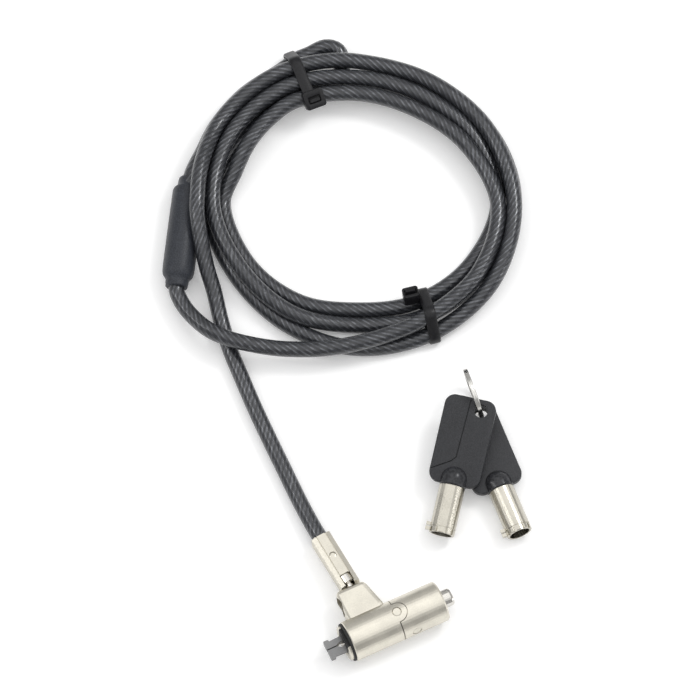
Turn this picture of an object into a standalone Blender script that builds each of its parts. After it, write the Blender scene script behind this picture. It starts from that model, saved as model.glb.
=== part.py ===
"""Laptop cable lock: a push-to-lock head, a swivelling ferrule, a coiled steel cable with
an eye, and two tubular keys on a split ring. Metres, +Z up, everything lies on z = 0."""
import math

import bmesh
import bpy
from mathutils import Matrix, Vector

MM = 0.001

# Driving dimensions, in millimetres.
BARREL_R = 7.25          # outer radius of both housings
BORE_R = 5.0             # bore of the front housing and of the coupling
CORE_R = 5.6             # bore of the rear housing around the lock core
SEAM = 17.9              # where the two housings meet, from the front edge
BARREL_LENGTH = 35.2
TONGUE_AT = 18.5         # centre of the round tongues and of their rivets
TONGUE_R = 3.5
RIVET_R = 1.6
PLATE_R = 6.2
PLATE_FRONT = -1.9       # the face that seats against the laptop
JAW_THICK = 2.4
JAW_TIP = -8.1
HOOK_HALF = 3.45         # half of the 6.9 mm that passes a 3 x 7 mm security slot
NECK_HALF = 2.7
JAW_PIVOT = (4.0, 2.2)
ROD_R = 0.8
POST_R = 3.2
POST_END = 39.1
EAR_END = 17.5           # from the barrel's axis to the ear's outer face
EAR_HALF = 4.2
EAR_BORE_R = 3.6
EAR_BORE_AT = 13.0
STUD_AT = 9.4            # the stud's place along the barrel
STUD_LEAN = 4.0          # degrees between the stud and the ear's own direction
FERRULE = (0.8, 21.8)    # start and end along the stud's axis
FERRULE_HALF = 3.55
CABLE_R = 2.75
KEY_TUBE_R = 4.5
KEY_BORE_R = 3.6
KEY_TUBE_LENGTH = 17.2
KEY_LENGTH = 48.7
KEY_HALF = 9.0
KEY_THICK = 2.8
KEY_HOLE = (44.7, -3.9)  # along the key and across it
KEY_HOLE_R = 2.35
RING_R = 8.5
RING_WIRE = (1.4, 2.6)   # radial and axial size of the split ring
GAP = 0.3                # between pieces that touch

# Places on the table, in millimetres from the middle of the layout.
LAYOUT_CENTRE = (26.68, -63.05)
HEAD_AT = (-0.4, -109.1, BARREL_R)
HEAD_TURN = 25.4         # degrees from +X to the barrel's axis
HEAD_ROLL = -5.0         # the ear droops towards the table
KEYS = {
    "1": {"end": (31.4, -69.1, 4.75), "turn": 77.0, "tilt": 9.6},
    "2": {"end": (58.3, -68.9, 4.95), "turn": 111.8, "tilt": 0.0},
}
RING_AT = (42.5, -19.4, 9.4)
RING_TURN = 19.7
COIL_OUTER = (3.6, 52.1, 55.4, 55.8)   # centre x, centre y, half width, half depth
COIL_INNER = (3.45, 53.0, 44.9, 36.9)
COIL_Z = (1.6, 12.4)
TIES = {"upper": ((-12.2, 85.2), (-20.0, 105.0)), "lower": ((24.2, 22.6), (30.1, -0.6))}
TIE_WIDE = 3.3
TIE_THICK = 1.1
SLEEVE_FROM = (-59.9, 20.8, 5.6)
SLEEVE_TO = (-57.9, 60.6, 5.6)

# The cable's free stretches, chosen by hand.
LEAD_ROUTE = [
    (-3.88, -81.32, 4.92), (-6.72, -76.28, 4.42), (-10.05, -70.38, 3.83), (-12.8, -65.4, 3.35),
    (-17.3, -56.4, 2.9), (-22.5, -45.1, 2.8), (-27.6, -34.0, 2.8), (-32.5, -23.0, 2.8), (-37.0, -12.0, 2.8),
    (-41.3, -1.0, 2.8), (-44.5, 9.5, 3.2), (-47.4, 19.5, 4.6),
]
TAIL_ROUTE = [
    (-20.0, -2.6, 7.9), (-26.0, -2.3, 8.3), (-33.0, -1.3, 8.7), (-41.0, 0.7, 8.9), (-48.0, 4.1, 8.0),
    (-53.4, 9.0, 6.6), (-57.6, 14.6, 5.7), (-59.93, 20.45, 5.6),
]
EYE_ROUTE = [
    (-13.6, 108.9, 3.0), (-10.4, 110.5, 2.9), (-7.0, 111.5, 2.9), (-3.6, 111.7, 2.9), (-0.6, 111.6, 3.0),
]


def finish(name, base, metallic, roughness):
    """A plain material."""
    material = bpy.data.materials.new(name)
    material.use_nodes = True
    shader = material.node_tree.nodes["Principled BSDF"]
    shader.inputs["Base Color"].default_value = (*base, 1.0)
    shader.inputs["Metallic"].default_value = metallic
    shader.inputs["Roughness"].default_value = roughness
    return material


FINISHES = {
    "satin_nickel": ((0.70, 0.68, 0.62), 1.0, 0.34),
    "polished_nickel": ((0.80, 0.79, 0.75), 1.0, 0.12),
    "gunmetal": ((0.22, 0.22, 0.22), 1.0, 0.42),
    "spring_steel": ((0.45, 0.45, 0.46), 1.0, 0.3),
    "black_rubber": ((0.02, 0.02, 0.02), 0.0, 0.65),
    "key_plastic": ((0.045, 0.047, 0.05), 0.0, 0.45),
    "sleeve_plastic": ((0.03, 0.032, 0.036), 0.0, 0.5),
    "tie_nylon": ((0.02, 0.02, 0.022), 0.0, 0.4),
    "cable_jacket": ((0.09, 0.09, 0.095), 0.0, 0.2),
}


def clear_scene():
    for item in list(bpy.data.objects):
        bpy.data.objects.remove(item, do_unlink=True)


def place(location=(0.0, 0.0, 0.0), turn=0.0, tilt=0.0, roll=0.0):
    """Turn about Z, then tilt about the new Y, then roll about the new X. Millimetres and degrees."""
    spin = Matrix.Rotation(math.radians(turn), 4, "Z")
    lean = Matrix.Rotation(math.radians(-tilt), 4, "Y")
    twist = Matrix.Rotation(math.radians(roll), 4, "X")
    return Matrix.Translation(Vector(location) * MM) @ spin @ lean @ twist


def empty(name, parent, matrix):
    holder = bpy.data.objects.new(name, None)
    bpy.context.scene.collection.objects.link(holder)
    holder.parent = parent
    holder.matrix_local = matrix
    return holder


def add(name, bm, material, parent, matrix=None, smooth=True):
    """Close the bmesh into an object under its parent; material None makes a hidden cutter."""
    bmesh.ops.recalc_face_normals(bm, faces=bm.faces)
    mesh = bpy.data.meshes.new(name)
    bm.to_mesh(mesh)
    bm.free()
    item = bpy.data.objects.new(name, mesh)
    bpy.context.scene.collection.objects.link(item)
    item.parent = parent
    item.matrix_local = matrix or Matrix.Identity(4)
    if material is None:
        item.hide_render = True
        item.display_type = "WIRE"
        return item
    mesh.materials.append(bpy.data.materials[material])
    if smooth:
        mesh.shade_smooth()
        mesh.set_sharp_from_angle(angle=math.radians(35))
    return item


def turned(name, profile, material, parent, matrix=None, sides=24):
    """A closed outline of (along, radius) turned about the local X axis."""
    bm = bmesh.new()
    rings = []
    for along, radius in profile:
        if radius == 0:
            rings.append([bm.verts.new((along * MM, 0.0, 0.0))] * sides)
            continue
        angles = [2 * math.pi * (k + 0.5) / sides for k in range(sides)]
        rings.append([
            bm.verts.new((along * MM, radius * math.cos(a) * MM, radius * math.sin(a) * MM)) for a in angles
        ])
    for here, there in zip(rings, rings[1:] + rings[:1]):
        for k in range(sides):
            corners = [here[k], here[(k + 1) % sides], there[(k + 1) % sides], there[k]]
            loop = list(dict.fromkeys(corners))
            if len(loop) > 2:
                bm.faces.new(loop)
    return add(name, bm, material, parent, matrix)


def prism(name, outline, low, high, material, parent, matrix=None):
    """A flat outline of (x, y) points given a height."""
    bm = bmesh.new()
    base = bm.faces.new([bm.verts.new((x * MM, y * MM, low * MM)) for x, y in outline])
    pushed = bmesh.ops.extrude_face_region(bm, geom=[base])
    up = [v for v in pushed["geom"] if isinstance(v, bmesh.types.BMVert)]
    bmesh.ops.translate(bm, verts=up, vec=(0.0, 0.0, (high - low) * MM))
    return add(name, bm, material, parent, matrix, smooth=False)


def block(name, low, high, material, parent, matrix=None):
    outline = [(low[0], low[1]), (high[0], low[1]), (high[0], high[1]), (low[0], high[1])]
    return prism(name, outline, low[2], high[2], material, parent, matrix)


def arc(cx, cy, radius, start, end, steps):
    """Points of an arc, angles in degrees."""
    angles = [math.radians(start + (end - start) * k / steps) for k in range(steps + 1)]
    return [(cx + radius * math.cos(a), cy + radius * math.sin(a)) for a in angles]


def rounded(low, high, radius, steps=4):
    """A rectangle with round corners."""
    (x0, y0), (x1, y1) = low, high
    corners = [(x1 - radius, y1 - radius, 0), (x0 + radius, y1 - radius, 90),
               (x0 + radius, y0 + radius, 180), (x1 - radius, y0 + radius, 270)]
    return [p for cx, cy, a in corners for p in arc(cx, cy, radius, a, a + 90, steps)]


def combine(target, tool, operation):
    change = target.modifiers.new(operation.title(), "BOOLEAN")
    change.operation = operation
    change.object = tool
    change.solver = "EXACT"
    tool.hide_render = True
    tool.display_type = "WIRE"


def chamfer(item, width, segments=1):
    edge = item.modifiers.new("Bevel", "BEVEL")
    edge.width = width * MM
    edge.segments = segments
    edge.limit_method = "ANGLE"
    edge.angle_limit = math.radians(40)


def across(along, offset=0.0):
    """A frame whose X axis points up through the barrel's wall at this distance from the front."""
    return Matrix.Translation(Vector((along, offset, 0.0)) * MM) @ Matrix.Rotation(math.radians(-90), 4, "Y")


# ---------------------------------------------------------------- lock head

def tongue_outline(radius):
    return [(SEAM - 6.0, -radius), *arc(TONGUE_AT, 0.0, radius, -90, 90, 12), (SEAM - 6.0, radius)]


def tongue_shell(name, inner, radius, parent):
    """The part of the barrel's skin that the two round tongues take up."""
    ring = [(8.0, inner), (8.0, BARREL_R), (26.0, BARREL_R), (26.0, inner)]
    skin = turned(name, ring, None, parent, sides=48)
    combine(skin, prism(name + "_shape", tongue_outline(radius), -9.0, 9.0, None, parent), "INTERSECT")
    return skin


def front_housing(head):
    """The front barrel with the cable's ear and the two tongues that lap the rear housing."""
    body = turned("front_housing", [(0.0, 0.0), (0.0, BARREL_R - 0.3), (0.3, BARREL_R),
                                    (SEAM, BARREL_R), (SEAM, 0.0)], "satin_nickel", head, sides=48)
    side = [(3.0, 3.0), (3.0, EAR_END), (13.9, EAR_END), (16.4, 7.4), (16.9, 3.0)]
    ear = prism("ear_shape", side, -EAR_HALF, EAR_HALF, None, head)
    chamfer(ear, 1.7, 3)
    combine(body, ear, "UNION")
    combine(body, tongue_shell("tongue_shape", 5.9, TONGUE_R, head), "UNION")
    bore = turned("front_bore", [(-1.0, 0.0), (-1.0, BORE_R), (SEAM + 0.01, BORE_R),
                                 (SEAM + 0.01, 5.9), (30.0, 5.9), (30.0, 0.0)], None, head, sides=36)
    combine(body, bore, "DIFFERENCE")
    pocket = turned("ear_bore", [(1.0, 0.0), (1.0, EAR_BORE_R), (11.9, EAR_BORE_R), (11.9, 0.0)], None, head,
                    Matrix.Translation((0.0, EAR_BORE_AT * MM, 0.0)), sides=32)
    combine(body, pocket, "DIFFERENCE")
    stepped = [(-5.0, 0.0), (-5.0, 2.75), (-0.85, 2.75), (-0.85, 1.75), (2.0, 1.75), (2.0, 0.0)]
    stud_hole = turned("stud_hole", stepped, None, head, STUD, sides=20)
    combine(body, stud_hole, "DIFFERENCE")
    combine(body, rivet_hole("front_rivet_hole", head), "DIFFERENCE")
    return body


def rivet_hole(name, head):
    return turned(name, [(-9.0, 0.0), (-9.0, RIVET_R + 0.06), (9.0, RIVET_R + 0.06), (9.0, 0.0)], None, head,
                  across(TONGUE_AT), sides=20)


def rear_housing(head):
    """The rear barrel: coupling bore, core bore and the round keyway's mouth."""
    start = SEAM + GAP
    body = turned("rear_housing", [
        (start, BORE_R), (start, BARREL_R), (BARREL_LENGTH - 0.6, BARREL_R), (BARREL_LENGTH, BARREL_R - 0.6),
        (BARREL_LENGTH, 4.75), (33.4, 4.75), (33.4, CORE_R), (22.6, CORE_R), (22.6, BORE_R),
    ], "satin_nickel", head, sides=48)
    combine(body, tongue_shell("tongue_room", 5.6, TONGUE_R + 0.22, head), "DIFFERENCE")
    combine(body, rivet_hole("rear_rivet_hole", head), "DIFFERENCE")
    notch = block("keyway_notch", (33.0, -6.0, -0.9), (36.0, -4.0, 0.9), None, head)
    combine(body, notch, "DIFFERENCE")
    pin_hole = turned("side_pin_hole", [(5.0, 0.0), (5.0, 0.96), (6.5, 0.96), (6.5, 0.0)], None, head,
                      side_pin_frame(24.0), sides=16)
    combine(body, pin_hole, "DIFFERENCE")
    cap_room = turned("side_pin_seat", [(5.8, 0.0), (5.8, 1.65), (9.0, 1.65), (9.0, 0.0)], None, head,
                      side_pin_frame(22.7), sides=24)
    combine(body, cap_room, "DIFFERENCE")
    return body


def side_pin_frame(along):
    raised = Matrix.Rotation(math.radians(-8), 4, "X") @ Matrix.Rotation(math.radians(-90), 4, "Z")
    return Matrix.Translation((along * MM, 0.0, 0.0)) @ raised


def coupling_rivets(head):
    profile = [(5.15, 0.0), (5.15, RIVET_R), (6.95, RIVET_R), (7.12, RIVET_R - 0.25), (7.12, 0.0)]
    flipped = Matrix.Rotation(math.radians(180), 4, "X")
    turned("coupling_rivet_top", profile, "satin_nickel", head, across(TONGUE_AT), sides=20)
    turned("coupling_rivet_bottom", profile, "satin_nickel", head,
           Matrix.Translation((TONGUE_AT * MM, 0.0, 0.0)) @ flipped @ across(0.0), sides=20)
    pin = turned("core_retaining_pin", [(5.05, 0.0), (5.05, 0.9), (6.4, 0.9), (6.4, 0.0)], "satin_nickel", head,
                 side_pin_frame(24.0), sides=16)
    cap = turned("retaining_pin_head", [(5.85, 0.0), (5.85, 1.55), (7.0, 1.55), (7.1, 1.4), (7.1, 0.0)], None,
                 head, side_pin_frame(22.7), sides=24)
    combine(pin, cap, "UNION")


def front_face(head):
    """The rubber ring and the plate, which is open above the jaws, with its small dowel."""
    turned("bumper_ring", [(-0.85, 5.2), (-0.85, 6.75), (-0.65, 6.95), (-0.06, 6.95), (-0.06, 5.2)],
           "black_rubber", head, sides=32)
    disc = [(PLATE_FRONT, 0.0), (PLATE_FRONT, PLATE_R - 0.3), (PLATE_FRONT + 0.3, PLATE_R),
            (-0.9, PLATE_R), (-0.9, 0.0)]
    plate = turned("front_plate", disc, "satin_nickel", head, sides=32)
    combine(plate, block("plate_slot", (-3.0, -3.75, -1.6), (0.0, 3.75, 8.0), None, head), "DIFFERENCE")
    dowel = turned("plate_dowel_shape", [(-2.5, 0.0), (-2.5, 0.45), (-1.2, 0.6), (-1.2, 0.0)], None, head,
                   Matrix.Translation((0.0, 0.0, -4.0 * MM)), sides=12)
    combine(plate, dowel, "UNION")


def jaw(name, side, head):
    """One hook jaw; side is 1 towards the ear and -1 away from it. Its origin is on its pin."""
    pivot = Vector((JAW_PIVOT[0], side * JAW_PIVOT[1], 0.0))
    holder = empty(name + "_axis", head, Matrix.Translation(pivot * MM))
    shape = [(JAW_TIP, 0.22), (-4.4, 0.22), (-3.2, 1.0), (5.4, 1.0), (5.4, 3.3), (0.5, 3.0), (-6.1, NECK_HALF),
             (-6.5, HOOK_HALF), (JAW_TIP + 0.15, HOOK_HALF), (JAW_TIP, HOOK_HALF - 0.15)]
    outline = [(x - pivot.x, side * y - pivot.y) for x, y in shape]
    item = prism(name, outline, -JAW_THICK / 2, JAW_THICK / 2, "gunmetal", holder)
    hole = turned(name + "_hole", [(-3.0, 0.0), (-3.0, 0.68), (3.0, 0.68), (3.0, 0.0)], None, holder,
                  across(0.0), sides=16)
    combine(item, hole, "DIFFERENCE")
    turned(name + "_pin", [(-4.0, 0.0), (-4.0, 0.6), (4.0, 0.6), (4.0, 0.0)], "spring_steel", head,
           across(pivot.x, pivot.y), sides=16)


def jaw_block(head):
    """The block in the barrel that carries the jaw pins."""
    drum = [(0.2, 0.0), (0.2, 4.85), (6.2, 4.85), (6.2, 0.0)]
    body = turned("jaw_block", drum, "gunmetal", head, sides=24)
    combine(body, block("jaw_slot", (-1.0, -3.9, -1.5), (7.0, 3.9, 1.5), None, head), "DIFFERENCE")
    combine(body, block("block_neck", (-1.3, -2.8, 1.55), (0.5, 2.8, 3.85), None, head), "UNION")
    combine(body, block("block_nose", (-1.85, -3.65, 1.55), (-0.95, 3.65, 4.85), None, head), "UNION")
    for side in (1, -1):
        hole = turned("block_pin_hole", [(-6.0, 0.0), (-6.0, 0.66), (6.0, 0.66), (6.0, 0.0)], None, head,
                      across(JAW_PIVOT[0], side * JAW_PIVOT[1]), sides=16)
        combine(body, hole, "DIFFERENCE")
    turned("rod_guide", [(7.4, 0.95), (7.4, 4.85), (8.6, 4.85), (8.6, 0.95)], "gunmetal", head, sides=24)


def plunger(head):
    """The post that is pressed in, with its collar, the spreader rod and the return spring."""
    turned("plunger_post", [
        (19.6, 0.0), (19.6, 4.8), (21.2, 4.8), (21.2, POST_R), (POST_END - 0.9, POST_R),
        (POST_END - 0.3, POST_R - 0.3), (POST_END, POST_R - 0.9), (POST_END, 0.0),
    ], "polished_nickel", head, sides=32)
    turned("spreader_rod", [(-3.0, 0.0), (-3.0, 0.12), (-0.4, ROD_R), (19.3, ROD_R), (19.3, 0.0)],
           "polished_nickel", head, sides=16)
    return_spring(head)


def return_spring(head):
    """Four and a half turns of round wire, drawn pressed together so that it clears the guide."""
    turns, per_turn, radius, wire = 4.5, 14, 3.2, 0.4
    start, pitch = 12.4, 1.45
    steps = int(turns * per_turn)
    points = []
    for k in range(steps + 1):
        angle = 2 * math.pi * k / per_turn
        points.append((start + pitch * k / per_turn, radius * math.cos(angle), radius * math.sin(angle)))
    tube("return_spring", points, wire, "spring_steel", head, resolution=1)


def lock_core(head):
    """The turning core with its groove for the retaining pin, and the seven pins of the keyway."""
    holder = empty("core_axis", head, Matrix.Identity(4))
    turned("lock_core", [
        (22.9, 3.35), (22.9, 5.4), (23.0, 5.4), (23.0, 4.9), (25.0, 4.9), (25.0, 5.4), (33.2, 5.4),
        (33.2, 4.8), (27.6, 4.8), (27.6, 3.35),
    ], "satin_nickel", holder, sides=32)
    for k in range(7):
        turn = Matrix.Rotation(math.radians(90 + k * 360 / 7), 4, "X")
        turned(f"core_pin_{k + 1}", [(27.8, 0.0), (27.8, 0.5), (29.2, 0.5), (29.2, 0.0)], "polished_nickel",
               holder, turn @ Matrix.Translation((0.0, 4.06 * MM, 0.0)), sides=10)


# ---------------------------------------------------------------- cable end

STUD_TURN = Matrix.Rotation(math.radians(90 + STUD_LEAN), 4, "Z")
STUD = Matrix.Translation((STUD_AT * MM, EAR_END * MM, 0.0)) @ STUD_TURN


def swivel(head):
    """The stud in the ear, its nut in the ear's bore, and the ferrule that turns on its head."""
    axis = empty("swivel_axis", head, STUD)
    turned("swivel_stud", [(-2.5, 0.0), (-2.5, 1.1), (-0.95, 1.1), (-0.95, 1.5), (2.2, 1.5), (2.2, 2.9),
                           (5.0, 2.9), (5.2, 2.7), (5.2, 0.0)], "polished_nickel", axis, sides=32)
    nut = [(-2.4, 1.16), (-2.4, 2.5), (-1.0, 2.5), (-1.0, 1.16)]
    turned("stud_nut", nut, "polished_nickel", axis, sides=16)
    ferrule(axis)


def ferrule(axis):
    start, end = FERRULE
    outline = rounded((-FERRULE_HALF, -3.5), (FERRULE_HALF, 3.5), 1.3, 3)
    lengthways = Matrix.Rotation(math.radians(90), 4, "Y") @ Matrix.Rotation(math.radians(90), 4, "Z")
    body = prism("cable_ferrule", outline, start, end, "satin_nickel", axis, lengthways)
    for side in (1, -1):
        near, far = sorted((side * 1.5, side * 1.95))
        channel = block(f"ferrule_channel_{side}", (0.0, near, 2.95), (30.0, far, 5.0), None, axis)
        combine(body, channel, "DIFFERENCE")
        near, far = sorted((0.0, side * 4.0))
        slant = Matrix.Translation(Vector((0.0, side * 1.95, 3.5)) * MM) @ Matrix.Rotation(
            math.radians(-28 * side), 4, "X")
        slope = block(f"ferrule_slope_{side}", (0.0, near, 0.0), (30.0, far, 3.0), None, axis, slant)
        combine(body, slope, "DIFFERENCE")
    room = turned("stud_room", [(1.8, 0.0), (1.8, 3.05), (5.6, 3.05), (5.6, 0.0)], None, axis, sides=32)
    combine(body, room, "DIFFERENCE")
    combine(body, block("stud_window", (1.8, -1.95, 0.0), (5.1, 1.95, 6.0), None, axis), "DIFFERENCE")
    combine(body, block("neck_slot", (0.0, -1.75, -1.75), (2.4, 1.75, 6.0), None, axis), "DIFFERENCE")
    bore = turned("cable_bore", [(8.0, 0.0), (8.0, 2.9), (30.0, 2.9), (30.0, 0.0)], None, axis, sides=24)
    combine(body, bore, "DIFFERENCE")
    spot = Matrix.Translation((13.0 * MM, 0.0, 0.0)) @ Matrix.Rotation(math.radians(-90), 4, "Y")
    drill = [(2.0, 0.0), (2.0, 1.25), (6.0, 1.25), (6.0, 0.0)]
    hole = turned("crimp_hole", drill, None, axis, spot, sides=16)
    combine(body, hole, "DIFFERENCE")
    pin = [(2.92, 0.0), (2.92, 1.17), (3.26, 1.17), (3.4, 0.8), (3.4, 0.0)]
    turned("crimp_pin", pin, "satin_nickel", axis, spot, sides=16)


# ---------------------------------------------------------------- cable

def smooth_route(points, spacing):
    """Points at an even spacing along a Catmull-Rom curve through the given ones."""
    knots = [Vector(p) for p in points]
    knots = [2 * knots[0] - knots[1], *knots, 2 * knots[-1] - knots[-2]]
    fine = []
    for a, b, c, d in zip(knots, knots[1:], knots[2:], knots[3:]):
        for k in range(16):
            t = k / 16
            fine.append(0.5 * (2 * b + (c - a) * t + (2 * a - 5 * b + 4 * c - d) * t * t
                               + (3 * b - 3 * c + d - a) * t ** 3))
    fine.append(knots[-2])
    lengths = [0.0]
    for a, b in zip(fine, fine[1:]):
        lengths.append(lengths[-1] + (b - a).length)
    count = max(3, round(lengths[-1] / spacing))
    even, k = [], 0
    for step in range(count + 1):
        goal = lengths[-1] * step / count
        while k < len(fine) - 2 and lengths[k + 1] < goal:
            k += 1
        span = max(lengths[k + 1] - lengths[k], 1e-9)
        even.append(fine[k].lerp(fine[k + 1], (goal - lengths[k]) / span))
    return even


def tube(name, points, radius, material, parent, resolution=2):
    curve = bpy.data.curves.new(name, "CURVE")
    curve.dimensions = "3D"
    curve.bevel_depth = radius * MM
    curve.bevel_resolution = resolution
    curve.use_fill_caps = True
    line = curve.splines.new("POLY")
    line.points.add(len(points) - 1)
    for knot, spot in zip(line.points, points):
        knot.co = (spot[0] * MM, spot[1] * MM, spot[2] * MM, 1.0)
    curve.materials.append(bpy.data.materials[material])
    item = bpy.data.objects.new(name, curve)
    bpy.context.scene.collection.objects.link(item)
    item.parent = parent


def oval(shape, angle):
    cx, cy, half_x, half_y = shape
    return cx + half_x * math.cos(angle), cy + half_y * math.sin(angle)


def cable_coil(layout):
    """The outer shape of the four bundled turns, with round edges."""
    low, high = COIL_Z
    steps, ease = 56, 2.2
    bm = bmesh.new()
    rings = []
    for k in range(steps):
        angle = 2 * math.pi * k / steps
        inner = Vector(oval(COIL_INNER, angle))
        outer = Vector(oval(COIL_OUTER, angle))
        step = (outer - inner).normalized() * ease
        section = [(inner, low + ease), (inner + step, low), (outer - step, low), (outer, low + ease),
                   (outer, high - ease), (outer - step, high), (inner + step, high), (inner, high - ease)]
        rings.append([bm.verts.new((p.x * MM, p.y * MM, z * MM)) for p, z in section])
    for here, there in zip(rings, rings[1:] + rings[:1]):
        for k in range(8):
            bm.faces.new([here[k], here[(k + 1) % 8], there[(k + 1) % 8], there[k]])
    return add("cable_coil", bm, "cable_jacket", layout)


def cable_tie(name, inner, outer, layout):
    """A band round the bundle and its square head at the coil's inner edge."""
    start, end = Vector(inner), Vector(outer)
    length = (end - start).length
    turn = math.degrees(math.atan2((end - start).y, (end - start).x))
    frame = place((*inner, 0.0), turn) @ Matrix.Rotation(math.radians(90), 4, "X")
    low, high = COIL_Z[0] - 0.25, COIL_Z[1] + 0.25
    loop = rounded((-TIE_THICK, low - TIE_THICK), (length + TIE_THICK, high + TIE_THICK), 3.0, 3)
    band = prism(f"tie_band_{name}", loop, -TIE_WIDE / 2, TIE_WIDE / 2, "tie_nylon", layout, frame)
    room = rounded((0.0, low), (length, high), 2.0, 3)
    hollow = prism(f"tie_room_{name}", room, -5.0, 5.0, None, layout, frame)
    combine(band, hollow, "DIFFERENCE")
    edge = -TIE_THICK - GAP
    box = rounded((edge - 5.6, 5.2), (edge, 12.6), 0.8, 2)
    head = prism(f"tie_head_{name}", box, -3.2, 3.2, "tie_nylon", layout, frame)
    chamfer(head, 0.5)


def eye_sleeve(layout):
    """The moulded sleeve over the crimp that closes the eye."""
    start, end = Vector(SLEEVE_FROM), Vector(SLEEVE_TO)
    length = (end - start).length
    turn = math.degrees(math.atan2((end - start).y, (end - start).x))
    frame = place(SLEEVE_FROM, turn)
    turned("eye_sleeve", [
        (0.0, 2.95), (0.0, 3.9), (3.2, 4.1), (3.6, 5.2), (6.0, 5.5), (length - 4.0, 5.3),
        (length - 2.6, 4.3), (length, 4.0), (length, 2.95), (length - 8.0, 2.95), (length - 8.0, 3.7),
        (8.6, 3.7), (8.6, 2.95),
    ], "sleeve_plastic", layout, frame, sides=20)
    barrel = [(8.8, 0.0), (8.8, 3.3), (9.1, 3.5), (length - 8.5, 3.5), (length - 8.2, 3.3),
              (length - 8.2, 0.0)]
    turned("crimp_barrel", barrel, "satin_nickel", layout, frame, sides=16)


# ---------------------------------------------------------------- keys

def key(number, layout):
    """A tubular key: its own X axis runs from the tube's mouth to the head's far edge."""
    spot = KEYS[number]
    frame = place(spot["end"], spot["turn"], spot["tilt"])
    mouth = empty(f"key_{number}_frame", layout, frame)
    key_head(number, mouth)
    key_tube(number, mouth)


def key_head(number, mouth):
    outline = rounded((KEY_TUBE_LENGTH, -KEY_HALF), (KEY_LENGTH, KEY_HALF), 3.6, 5)
    head = prism(f"key_head_{number}", outline, -KEY_THICK / 2, KEY_THICK / 2, "key_plastic", mouth)
    chamfer(head, 0.45)
    dome = [(KEY_TUBE_LENGTH + 2.0 + 4.7 * math.sin(a), 4.7 * math.cos(a)) for a in
            [math.radians(90 * k / 5) for k in range(5)]]
    boss = turned(f"key_boss_{number}", [(KEY_TUBE_LENGTH, 0.0), (KEY_TUBE_LENGTH, 4.7), *dome,
                                         (KEY_TUBE_LENGTH + 6.7, 0.0)], None, mouth, sides=28)
    combine(head, boss, "UNION")
    shank = [(10.0, 0.0), (10.0, 3.1), (22.0, 3.1), (22.0, 0.0)]
    socket = turned(f"key_socket_{number}", shank, None, mouth, sides=20)
    combine(head, socket, "DIFFERENCE")
    drill = [(-9.0, 0.0), (-9.0, KEY_HOLE_R), (9.0, KEY_HOLE_R), (9.0, 0.0)]
    hole = turned(f"key_hole_{number}", drill, None, mouth, across(*KEY_HOLE), sides=20)
    combine(head, hole, "DIFFERENCE")


def key_tube(number, mouth):
    tip = turned(f"key_tube_{number}", [
        (0.0, KEY_BORE_R), (0.0, KEY_TUBE_R - 0.2), (0.2, KEY_TUBE_R), (KEY_TUBE_LENGTH - GAP, KEY_TUBE_R),
        (KEY_TUBE_LENGTH - GAP, 3.0), (21.8, 3.0), (21.8, 0.0), (13.0, 0.0), (13.0, KEY_BORE_R),
    ], "satin_nickel", mouth, sides=32)
    nib = block(f"key_nib_{number}", (0.6, 4.0, -0.8), (3.4, 5.9, 0.8), None, mouth)
    combine(tip, nib, "UNION")
    for k, turn in enumerate((52, 16, -20, -56, 150)):
        cutter = block(f"key_cut_{number}_{k}", (-1.0, -0.4, 3.95), (1.75, 0.4, 6.0), None, mouth,
                       Matrix.Rotation(math.radians(turn), 4, "X"))
        combine(tip, cutter, "DIFFERENCE")
    ring = [(1.75, 4.2), (1.75, 6.0), (2.2, 6.0), (2.2, 4.2)]
    combine(tip, turned(f"key_neck_{number}", ring, None, mouth, sides=32), "DIFFERENCE")


def split_ring(layout):
    radial, axial = RING_WIRE
    inner, outer = RING_R - radial / 2, RING_R + radial / 2
    half, ease = axial / 2, 0.35
    section = [(-half + ease, inner), (-half, inner + ease), (-half, outer - ease), (-half + ease, outer),
               (half - ease, outer), (half, outer - ease), (half, inner + ease), (half - ease, inner)]
    turned("split_ring", section, "polished_nickel", layout, place(RING_AT, RING_TURN), sides=40)


def build():
    clear_scene()
    for name, look in FINISHES.items():
        finish(name, *look)
    cx, cy = LAYOUT_CENTRE
    layout = empty("layout", None, place((-cx, -cy, 0.0)))
    head = empty("head_frame", layout, place(HEAD_AT, HEAD_TURN, 0.0, HEAD_ROLL))
    front_housing(head)
    rear_housing(head)
    coupling_rivets(head)
    front_face(head)
    jaw_block(head)
    jaw("jaw_near_ear", 1, head)
    jaw("jaw_far", -1, head)
    plunger(head)
    lock_core(head)
    swivel(head)
    tube("cable_lead", smooth_route(LEAD_ROUTE, 11.0), CABLE_R, "cable_jacket", layout)
    tube("cable_tail", smooth_route(TAIL_ROUTE, 8.0), CABLE_R, "cable_jacket", layout)
    tube("cable_eye", smooth_route(EYE_ROUTE, 4.0), CABLE_R, "cable_jacket", layout)
    cable_coil(layout)
    eye_sleeve(layout)
    for name, (inner, outer) in TIES.items():
        cable_tie(name, inner, outer, layout)
    for number in KEYS:
        key(number, layout)
    split_ring(layout)


build()
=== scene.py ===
"""Looks of the laptop cable lock: a nickel push-to-lock head, a jacketed steel cable wound in a
bundle with an eye, two cable ties, and two tubular keys on a split ring."""
import math

import bmesh
import bpy
from mathutils import Matrix, Vector


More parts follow.
